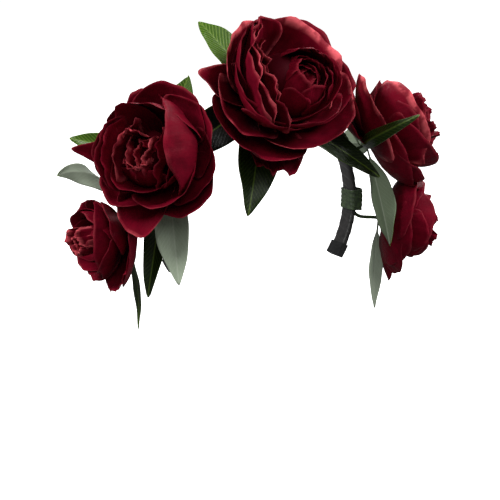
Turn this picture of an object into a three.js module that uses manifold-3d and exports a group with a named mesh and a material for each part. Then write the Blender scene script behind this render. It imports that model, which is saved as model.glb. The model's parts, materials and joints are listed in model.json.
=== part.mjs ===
// Flower crown: five fabric peonies and their leaves, wired onto a sprung hair band.
// Millimetres. +Z is up, -Y is the way the wearer faces and +X is the wearer's left.
// The origin is the middle of the ribbon's inner face at the top of the band, which rests on
// the head. The crown is built round the centre of the band's circle and then moved down to it.
import * as THREE from "three";
import { mergeVertices } from "three/addons/utils/BufferGeometryUtils.js";
import Module from "manifold-3d";

const wasm = await Module();
wasm.setup();

// ---------------------------------------------------------------- driving dimensions

const GAP = 0.5; // left between neighbouring pieces that touch on the real crown

const BAND = { radius: 86, width: 14, thick: 1.6, tipAngle: 122, splitAngle: 18 };
const RIBBON_THICK = 1.1;
const TAPE = { thick: 1.2, halfAngle: 5.5, back: 9 };
const CAP = { length: 9, thick: 1.6 };
const FACET_ANGLE = 7.5; // about what each flat facet along the band turns through

const STEM_RADIUS = 1.5;
const HOLE_RADIUS = STEM_RADIUS + GAP;
const STEM_SHARE = 0.62; // how far up the bloom its stem reaches, as a share of the bloom's radius

// The layers of a bloom, from the stem outwards. rim, depth and ruffle are shares of the
// bloom's radius, lift is how far the layer's base stands above the calyx's in millimetres,
// and sweep is the angle its side turns through from base to rim.
const CLOTH_THICK = 1.7;
const CALYX = { rim: 0.32, depth: 0.03, sweep: 30, lift: 0, lobes: 5, notch: 0.1, ruffle: 0, rows: 2 };
const GUARD = { rim: 1, depth: 0.5, sweep: 62, lift: 2.4, lobes: 6, notch: 0.12, ruffle: 0.03, rows: 4 };
const CUP = { rim: 0.7, depth: 0.72, sweep: 88, lift: 5, lobes: 5, notch: 0.1, ruffle: 0.024, rows: 4 };
const HEART = { radius: 0.5, bottom: 9, top: 1.02 };

const LEAF_FOLD = 15; // how far each half of a leaf is raised from flat, in degrees
const BLADE_THICK = 0.9;
const STALK = { radius: 0.8, share: 0.12 }; // share of the leaf's length
const LEAF_ROOT = { out: STEM_RADIUS + STALK.radius + GAP, down: 3.5 };

// Directions are given as an angle seen from the front, clockwise from straight up, and a
// lean towards the front. Each bloom sits at an angle along the band from its top (at), and
// its stem comes to it along the band, running clockwise (1) or anticlockwise (-1) out of
// the tape that binds it. standoff and forward carry the calyx off the band, and radius is
// the open bloom's. The top bloom's tape sits further back, clear of the middle of the band.
const PEONIES = [
  {
    name: "right_ear_peony",
    at: -98, along: -1, standoff: 28, forward: -10, faces: -92, lean: 8, radius: 37,
  },
  {
    name: "right_temple_peony",
    at: -62, along: -1, standoff: 15, forward: 23, faces: -70, lean: 42, radius: 54,
  },
  {
    name: "top_peony",
    at: -6, along: -1, tapeBack: 15.5, standoff: 5, forward: 28, faces: 6, lean: 58, radius: 61,
  },
  {
    name: "left_temple_peony",
    at: 66, along: 1, standoff: 24, forward: 6, faces: 60, lean: 28, radius: 52,
  },
  {
    name: "left_ear_peony",
    at: 100, along: 1, standoff: 32, forward: 4, faces: 102, lean: 20, radius: 40,
  },
];

// Leaves grow from a peony's stem, down below its calyx. Each points its own way as seen
// from the front and rises towards the bloom's face out of the plane square to the stem.
// roll turns the upper face away from the bloom's, curl bends the blade back and twist
// turns its tip.
const LEAVES = [
  { name: "forehead_leaf", on: "top_peony", points: 198, rise: 4, length: 96, width: 34, curl: 20 },
  { name: "gap_leaf", on: "top_peony", points: 240, rise: -2, length: 80, width: 28, curl: 40 },
  { name: "brow_leaf", on: "top_peony", points: 129, rise: -4, length: 116, width: 26, curl: 6 },
  {
    name: "twisted_leaf",
    on: "left_temple_peony", points: 252, rise: -12, length: 100, width: 13, curl: -95, twist: 40,
  },
  { name: "crest_right_leaf", on: "top_peony", points: -22, rise: 5, length: 74, width: 30, curl: 16 },
  { name: "crest_back_leaf", on: "top_peony", points: 30, rise: -16, length: 74, width: 26, curl: 30 },
  {
    name: "right_cheek_leaf",
    on: "right_temple_peony", points: 166, rise: 1, length: 94, width: 28, curl: 4,
  },
  {
    name: "right_jaw_leaf",
    on: "right_temple_peony", points: 192, rise: -8, length: 106, width: 20, curl: 4, down: 8,
  },
  {
    name: "right_high_leaf",
    on: "right_temple_peony", points: -74, rise: 6, length: 80, width: 20, curl: 10,
  },
  {
    name: "right_back_leaf",
    on: "right_temple_peony", points: 0, rise: -14, length: 70, width: 26, curl: 20,
  },
  {
    name: "right_ear_wrap_leaf",
    on: "right_ear_peony", points: -8, rise: -8, length: 88, width: 24, curl: -112,
  },
  {
    name: "right_ear_long_leaf",
    on: "right_ear_peony", points: 174, rise: -20, length: 76, width: 10, curl: -30,
  },
  {
    name: "left_gap_leaf",
    on: "left_temple_peony", points: -76, rise: 0, length: 54, width: 15, curl: 10, down: 8,
  },
  {
    name: "left_cheek_leaf",
    on: "left_temple_peony", points: 204, rise: -8, length: 84, width: 24, curl: 10, roll: -55,
  },
  {
    name: "left_high_leaf",
    on: "left_temple_peony", points: -16, rise: 8, length: 92, width: 24, curl: 8,
  },
  {
    name: "left_back_leaf",
    on: "left_temple_peony", points: 66, rise: -14, length: 64, width: 24, curl: 20,
  },
  {
    name: "left_ear_long_leaf",
    on: "left_ear_peony", points: 180, rise: 6, length: 76, width: 14, curl: -12, roll: -40,
  },
];

// ---------------------------------------------------------------- colours

const finish = (color, roughness, metalness = 0) =>
  new THREE.MeshStandardMaterial({ color, roughness, metalness });
const MATERIALS = {
  petal: finish(0x6b0a1e, 0.75),
  leaf: finish(0x1f3319, 0.45),
  calyx: finish(0x3c5a2a, 0.6),
  wire: finish(0x2f4a26, 0.6),
  tape: finish(0x28401f, 0.8),
  ribbon: finish(0x17120f, 0.55),
  steel: finish(0x8d9094, 0.35, 1),
  cap: finish(0x141312, 0.5),
};

// ---------------------------------------------------------------- helpers

const rad = THREE.MathUtils.degToRad;
const { lerp, clamp } = THREE.MathUtils;
const crown = new THREE.Group();

function addMesh(group, name, geometry, material) {
  const mesh = new THREE.Mesh(geometry, material);
  mesh.name = name;
  group.add(mesh);
  return mesh;
}

// Moves every vertex of a geometry through place(x, y, z), which returns a Vector3.
function reshape(geometry, place) {
  const position = geometry.getAttribute("position");
  for (let i = 0; i < position.count; i++) {
    const p = place(position.getX(i), position.getY(i), position.getZ(i));
    position.setXYZ(i, p.x, p.y, p.z);
  }
  return geometry;
}

function toSolid(geometry) {
  const bare = geometry.clone();
  bare.deleteAttribute("normal");
  bare.deleteAttribute("uv");
  const merged = mergeVertices(bare, 1e-3);
  return new wasm.Manifold(
    new wasm.Mesh({
      numProp: 3,
      vertProperties: merged.getAttribute("position").array,
      triVerts: new Uint32Array(merged.index.array),
    }),
  );
}

function toGeometry(solid) {
  const mesh = solid.getMesh();
  const geometry = new THREE.BufferGeometry();
  geometry.setAttribute("position", new THREE.BufferAttribute(mesh.vertProperties, 3));
  geometry.setIndex(new THREE.BufferAttribute(mesh.triVerts, 1));
  return geometry;
}

const cut = (geometry, tool) => toGeometry(toSolid(geometry).subtract(toSolid(tool)));

// ---------------------------------------------------------------- the band

// A point in the plane of the band, at an angle from its top and a radius from its centre.
function onRing(angle, radius, y = 0) {
  return new THREE.Vector3(radius * Math.sin(rad(angle)), y, radius * Math.cos(rad(angle)));
}

// How many flat facets stand for a curve along the band.
const facetsBetween = (from, to) => Math.max(3, Math.round((to - from) / FACET_ANGLE));

// A bar that follows the band from one angle to another. Its section is width across and
// runs from low to high, measured outwards from the band's centreline.
function bentBar(from, to, { width, low, high }) {
  const bar = new THREE.BoxGeometry(to - from, width, high - low, facetsBetween(from, to), 1, 1);
  bar.translate((from + to) / 2, 0, (low + high) / 2);
  return reshape(bar, (angle, y, out) => onRing(angle, BAND.radius + out, y));
}

const grown = ({ width, low, high }, by) => ({ width: width + 2 * by, low: low - by, high: high + by });
const degreesOf = (length) => THREE.MathUtils.radToDeg(length / BAND.radius);

// A sleeve that fits round the band, open at both ends.
function bentSleeve(from, to, inside, wall) {
  return cut(bentBar(from, to, grown(inside, wall)), bentBar(from - 2, to + 2, inside));
}

const CORE = { width: BAND.width, low: -BAND.thick / 2, high: BAND.thick / 2 };
const RIBBON_INSIDE = grown(CORE, GAP);
const RIBBON_OUTSIDE = grown(RIBBON_INSIDE, RIBBON_THICK);
const WIRE_HEIGHT = RIBBON_OUTSIDE.high + GAP + STEM_RADIUS;
const MIDDLE_END = BAND.splitAngle - degreesOf(GAP);

// How far the middle facet of the ribbon's inner face stands from the centre of the circle.
const REST_HEIGHT =
  (BAND.radius + RIBBON_OUTSIDE.low) * Math.cos(rad(MIDDLE_END / facetsBetween(-MIDDLE_END, MIDDLE_END)));

// The wire is straight and the band is bent, so the tape leaves the wire a second gap.
const TAPE_INSIDE = { ...grown(RIBBON_OUTSIDE, GAP), high: WIRE_HEIGHT + STEM_RADIUS + 2 * GAP };

// The band is one spring. It is divided where it bends most, a little to each side of its top.
function addBandLength(part, from, to, ribbonFrom, ribbonTo) {
  const ribbon = bentSleeve(ribbonFrom, ribbonTo, RIBBON_INSIDE, RIBBON_THICK);
  addMesh(crown, `band_${part}`, bentBar(from, to, CORE), MATERIALS.steel);
  addMesh(crown, `ribbon_${part}`, ribbon, MATERIALS.ribbon);
}

function addTipCap(part, side) {
  const start = BAND.tipAngle - degreesOf(CAP.length);
  const pocketEnd = BAND.tipAngle + degreesOf(GAP);
  const outside = bentBar(start, pocketEnd + degreesOf(CAP.thick), grown(RIBBON_INSIDE, CAP.thick));
  const pocket = bentBar(start - 2, pocketEnd, RIBBON_INSIDE);
  const cap = addMesh(crown, `tip_cap_${part}`, cut(outside, pocket), MATERIALS.cap);
  if (side < 0) cap.rotation.z = Math.PI;
}

function addBand() {
  const outer = BAND.splitAngle + degreesOf(GAP);
  const ribbonEnd = BAND.tipAngle - degreesOf(CAP.length + GAP);
  addBandLength("middle", -MIDDLE_END, MIDDLE_END, -MIDDLE_END, MIDDLE_END);
  addBandLength("left", outer, BAND.tipAngle, outer, ribbonEnd);
  addBandLength("right", -BAND.tipAngle, -outer, -ribbonEnd, -outer);
  addTipCap("left", 1);
  addTipCap("right", -1);
}

// ---------------------------------------------------------------- a peony

// A layer of petals cut from one piece of cloth and pushed onto the stem through its centre
// hole, opened out into a lobed bowl.
function petalLayer(layer, radius) {
  const { lift, lobes, notch, rows } = layer;
  const sweep = rad(layer.sweep);
  const depth = layer.depth * radius;
  const outside = [];
  const inside = [];
  for (let i = 0; i <= rows; i++) {
    const turn = (sweep * i) / rows;
    const r = lerp(HOLE_RADIUS, layer.rim * radius, Math.sin(turn) / Math.sin(sweep));
    const z = lift + (depth * (1 - Math.cos(turn))) / (1 - Math.cos(sweep));
    outside.push(new THREE.Vector2(r, z));
    inside.unshift(
      new THREE.Vector2(r - CLOTH_THICK * Math.sin(turn), z + CLOTH_THICK * Math.cos(turn)),
    );
  }
  const bowl = new THREE.LatheGeometry([...outside, ...inside, outside[0]], lobes * 5);
  return reshape(bowl.rotateX(Math.PI / 2), (x, y, z) => {
    const up = clamp((z - lift) / depth, 0, 1) ** 2;
    const wave = Math.cos(lobes * Math.atan2(y, x));
    const shrink = 1 - notch * up * (0.5 - 0.5 * wave);
    const frill = layer.ruffle * radius * up * Math.cos(2 * lobes * Math.atan2(y, x));
    return new THREE.Vector3(x * shrink, y * shrink, z + frill);
  });
}

// The tight ball of small petals at the centre, with a blind hole for the end of the stem.
function heartBall(radius) {
  const holeTop = STEM_SHARE * radius + GAP;
  const base = rad(25);
  const rows = 6;
  const ball = [];
  for (let i = 0; i <= rows; i++) {
    const turn = lerp(base, Math.PI, i / rows);
    const height = lerp(HEART.bottom, HEART.top * radius, (1 - Math.cos(turn)) / 2);
    const r = i === rows ? 0 : HEART.radius * radius * Math.sin(turn);
    ball.push(new THREE.Vector2(r, height));
  }
  const hole = [
    new THREE.Vector2(0, holeTop),
    new THREE.Vector2(HOLE_RADIUS, holeTop),
    new THREE.Vector2(HOLE_RADIUS, ball[0].y),
  ];
  return new THREE.LatheGeometry([...hole, ...ball], 20).rotateX(Math.PI / 2);
}

function directionOf(angle, lean) {
  return onRing(angle, Math.cos(rad(lean)), -Math.sin(rad(lean)));
}

const tapeAngle = ({ at, along, tapeBack = TAPE.back }) => at - along * tapeBack;
const calyxOf = ({ at, standoff, forward }) => onRing(at, BAND.radius + standoff, -forward);

// A wire that lies along the band under its tape, then bends out to the bloom's own axis.
function stemGeometry(peony) {
  const { along, faces, lean, radius } = peony;
  const foot = onRing(tapeAngle(peony), BAND.radius + WIRE_HEIGHT);
  const run = onRing(tapeAngle(peony) + 90 * along, 1);
  const half = rad(TAPE.halfAngle) * BAND.radius;
  const aim = directionOf(faces, lean);
  const calyx = calyxOf(peony);
  const exit = foot.clone().addScaledVector(run, half + 3);
  const neck = calyx.clone().addScaledVector(aim, -6);
  const path = new THREE.CurvePath();
  path.add(new THREE.LineCurve3(foot.clone().addScaledVector(run, 1 - half), exit));
  path.add(
    new THREE.CubicBezierCurve3(
      exit,
      exit.clone().addScaledVector(run, 6).addScaledVector(onRing(peony.at, 1), 4),
      neck.clone().addScaledVector(aim, -6),
      neck,
    ),
  );
  path.add(new THREE.LineCurve3(neck, calyx.clone().addScaledVector(aim, STEM_SHARE * radius)));
  const section = new THREE.Shape().absarc(0, 0, STEM_RADIUS, 0, 2 * Math.PI);
  return new THREE.ExtrudeGeometry(section, {
    extrudePath: path,
    steps: 16,
    curveSegments: 4,
    bevelEnabled: false,
  });
}

// The bloom's own frame: +Z out along its axis, +Y to twelve o'clock.
function bloomFrame(peony) {
  const aim = directionOf(peony.faces, peony.lean);
  const across = new THREE.Vector3(0, 0, 1).cross(aim).normalize();
  const frame = new THREE.Group();
  frame.position.copy(calyxOf(peony));
  frame.quaternion.setFromRotationMatrix(
    new THREE.Matrix4().makeBasis(across, aim.clone().cross(across), aim),
  );
  return frame;
}

function addPeony(peony) {
  const { name, radius } = peony;
  const frame = bloomFrame(peony);
  const tape = tapeAngle(peony);
  const sleeve = bentSleeve(tape - TAPE.halfAngle, tape + TAPE.halfAngle, TAPE_INSIDE, TAPE.thick);
  crown.add(frame);
  addMesh(crown, `${name}_stem`, stemGeometry(peony), MATERIALS.wire);
  addMesh(crown, `${name}_tape`, sleeve, MATERIALS.tape);
  addMesh(frame, `${name}_calyx`, petalLayer(CALYX, radius), MATERIALS.calyx);
  addMesh(frame, `${name}_guard_petals`, petalLayer(GUARD, radius), MATERIALS.petal);
  addMesh(frame, `${name}_cup_petals`, petalLayer(CUP, radius), MATERIALS.petal);
  addMesh(frame, `${name}_heart`, heartBall(radius), MATERIALS.petal);
}

// ---------------------------------------------------------------- a leaf

// Half the leaf's width at a share of its length: a thin stalk, then a lance shape.
function halfWidthAt(share, width) {
  const along = clamp((share - STALK.share) / (1 - STALK.share), 0, 1);
  return STALK.radius + (width / 2 - STALK.radius) * Math.sin(Math.PI * along ** 0.82) ** 0.9;
}

// A flat bar, reshaped. It runs along +Y from the stalk, its upper face is +Z and its
// edges are raised, curl bends it down and twist turns it about its length.
function leafGeometry({ length, width, curl, twist = 0 }) {
  const bar = new THREE.BoxGeometry(2, 1, 2, 2, 10, 1).translate(0, 0.5, 0);
  const bend = rad(curl);
  return reshape(bar, (u, v, h) => {
    const half = v === 1 ? BLADE_THICK / 2 : halfWidthAt(v, width);
    const bladeShare = clamp((v - STALK.share / 2) / STALK.share, 0, 1);
    const thick = lerp(STALK.radius, BLADE_THICK / 2, bladeShare);
    const across = u * half;
    const raised = h * thick + Math.abs(across) * Math.tan(rad(LEAF_FOLD)) * bladeShare;
    const turned = rad(twist) * v * v;
    const side = across * Math.cos(turned) - raised * Math.sin(turned);
    const up = across * Math.sin(turned) + raised * Math.cos(turned);
    const angle = bend * v;
    return new THREE.Vector3(
      side,
      (length * Math.sin(angle)) / bend + up * Math.sin(angle),
      (-length * (1 - Math.cos(angle))) / bend + up * Math.cos(angle),
    );
  });
}

function addLeaf(leaf) {
  const peony = PEONIES.find(({ name }) => name === leaf.on);
  const aim = directionOf(peony.faces, peony.lean);
  const heading = onRing(leaf.points, 1);
  const sideways = heading.addScaledVector(aim, -heading.dot(aim)).normalize();
  const along = sideways.clone().applyAxisAngle(sideways.clone().cross(aim), rad(leaf.rise));
  const across = along.clone().cross(aim).normalize();
  const mesh = addMesh(crown, leaf.name, leafGeometry(leaf), MATERIALS.leaf);
  mesh.quaternion.setFromRotationMatrix(
    new THREE.Matrix4().makeBasis(across, along, across.clone().cross(along)),
  );
  mesh.rotateY(rad(leaf.roll ?? 0));
  mesh.position
    .copy(calyxOf(peony))
    .addScaledVector(aim, -(leaf.down ?? LEAF_ROOT.down))
    .addScaledVector(sideways, LEAF_ROOT.out);
}

// ---------------------------------------------------------------- the crown

addBand();
PEONIES.forEach(addPeony);
LEAVES.forEach(addLeaf);

const flowerCrown = new THREE.Group();
flowerCrown.add(crown);
crown.position.z = -REST_HEIGHT;

export default flowerCrown;
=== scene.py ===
"""Flower crown: cloth peonies and leaves bound to a ribbon-covered head band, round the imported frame."""
import json
import math

import bpy
import numpy as np
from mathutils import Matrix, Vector


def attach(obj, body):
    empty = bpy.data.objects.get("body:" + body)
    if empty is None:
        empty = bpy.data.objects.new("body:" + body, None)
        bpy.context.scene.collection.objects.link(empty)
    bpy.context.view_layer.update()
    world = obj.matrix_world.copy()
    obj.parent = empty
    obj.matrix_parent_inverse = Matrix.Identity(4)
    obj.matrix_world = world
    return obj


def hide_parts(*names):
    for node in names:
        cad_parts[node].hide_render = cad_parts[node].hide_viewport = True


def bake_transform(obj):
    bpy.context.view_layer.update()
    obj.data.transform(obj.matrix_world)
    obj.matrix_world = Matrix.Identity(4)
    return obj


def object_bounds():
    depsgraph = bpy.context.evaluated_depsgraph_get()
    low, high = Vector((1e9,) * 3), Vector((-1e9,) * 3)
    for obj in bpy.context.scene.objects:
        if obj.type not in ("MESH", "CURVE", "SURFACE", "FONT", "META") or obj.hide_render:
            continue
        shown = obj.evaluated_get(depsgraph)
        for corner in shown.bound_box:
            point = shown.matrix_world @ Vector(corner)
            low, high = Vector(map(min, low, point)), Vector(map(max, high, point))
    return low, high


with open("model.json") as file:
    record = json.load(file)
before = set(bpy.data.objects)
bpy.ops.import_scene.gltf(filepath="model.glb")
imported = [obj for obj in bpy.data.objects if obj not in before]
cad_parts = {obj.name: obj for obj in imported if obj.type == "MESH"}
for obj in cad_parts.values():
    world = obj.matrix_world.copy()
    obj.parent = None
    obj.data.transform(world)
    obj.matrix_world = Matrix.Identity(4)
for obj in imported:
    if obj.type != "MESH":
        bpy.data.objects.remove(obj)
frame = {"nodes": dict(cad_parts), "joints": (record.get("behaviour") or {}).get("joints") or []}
cad_low, cad_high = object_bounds()

# ---------------------------------------------------------------- driving sizes, in millimetres and degrees
MM = 0.001
BAND_RADIUS = 86.0
HINGE_ANGLE = 18.0
HINGE_BLEND = 5.0  # degrees on each side of the hinge where build_ribbon finds points on the band; the ribbon is not bent there
# A wound sleeve reaches from "low" to "high" across the band's thickness; "pitch" is one turn of the winding
# and "step" the height of each turn's edge.
RIBBON = {
    "half_width": 8.6, "low": -2.4, "high": 2.4, "wall": 1.1, "pitch": 9.0, "step": 0.35,
    "start": 0.15, "tip": 118.0, "slant": 0.35, "rows": 340,
}
TAPE = {
    "half_width": 10.3, "low": -4.1, "high": 8.1, "wall": 1.2, "pitch": 3.6, "step": 0.5,
    "half_angle": 5.5, "slant": 0.28, "rows": 46,
}
SLEEVE_SIDES = 40
SLEEVE_SQUARENESS = 5.0
SLEEVE_SHAVE = 0.05  # the wound cloth is this much thinner than "wall"
# The wire runs "height" above the band's middle and stands out of the tape by "leave". Its bend is shaped by
# "reach" and "rise", and it runs straight for "neck" and then "share" of the bloom's radius.
WIRE = {
    "radius": 1.45, "sides": 14, "pitch": 2.6, "step": 0.12,
    "height": 4.4, "leave": 3.0, "reach": 6.0, "rise": 4.0, "neck": 6.0, "share": 0.62,
}
PETAL_THICK = 0.45
PETAL_EDGE = 1.5  # a petal thins out over this distance from its edge
LEAF_THICK = 0.5
LEAF_RIB_THICK = 1.1
LEAF_RIB_WIDTH = 0.7
LEAF_FOLD = 15.0
ANY_PHASE = 6.28  # the highest phase a random wave starts at, in radians

# Petal styles, with sizes as shares of the bloom's radius. "root" is how far out a petal starts and "lift"
# how far up. "lean" is its angle from the bloom's axis at its root and "bend" how far that changes by the
# tip; "cup" curls the sides and "roll" turns the tip out. "ruffle" and "waves" are the size and number of
# its frills, "round" rounds the tip, "point" and "notch" draw it out or cut it, and "rim" is the width of
# the pink highlight painted along its edge. "crumple" is the height of its uneven dents.
GUARD = dict(
    root=0.08, lift=0.05, length=1.08, width=1.10, lean=94, bend=-70, cup=44, roll=20,
    ruffle=0.022, waves=1.6, round=0.34,
)
CUP = dict(
    root=0.08, lift=0.12, length=1.04, width=1.10, lean=82, bend=-84, cup=58, roll=15,
    ruffle=0.022, waves=1.8, round=0.32,
)
WALL = dict(
    root=0.25, lift=0.20, length=0.82, width=1.00, lean=30, bend=-24, cup=56, roll=16,
    ruffle=0.040, waves=2.6, round=0.26,
)
SCALE = dict(
    root=0.22, lift=0.24, length=0.76, width=0.56, lean=26, bend=-80, cup=46, roll=14,
    ruffle=0.022, waves=2.0, round=0.30,
)
FRILL = dict(
    root=0.10, lift=0.28, length=0.74, width=0.50, lean=8, bend=-14, cup=40, roll=24,
    ruffle=0.055, waves=3.0, round=0.22,
)
# How much a loose petal varies at random, in size as a share and in angles in degrees. A petal given one by
# one takes the share HAND_SET of it.
LONGER, WIDER, NARROWER = 0.08, 0.10, 0.12
VARY_ANGLES = (("lean", 7), ("bend", 9), ("cup", 8), ("roll", 20), ("at", 9))
HAND_SET = 0.3
VARY_SKEW = 8  # degrees that any petal's tip may swing to either side, loose or given one by one


def fan(style, count, start, **changes):
    """count petals of one style spread evenly round the bloom from a starting clock angle."""
    return [dict(style, **changes, at=start + 360 / count * i, loose=True) for i in range(count)]


def one(style, at, **changes):
    """One listed petal of this style at a clock angle."""
    return dict(style, at=at, **changes)


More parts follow.
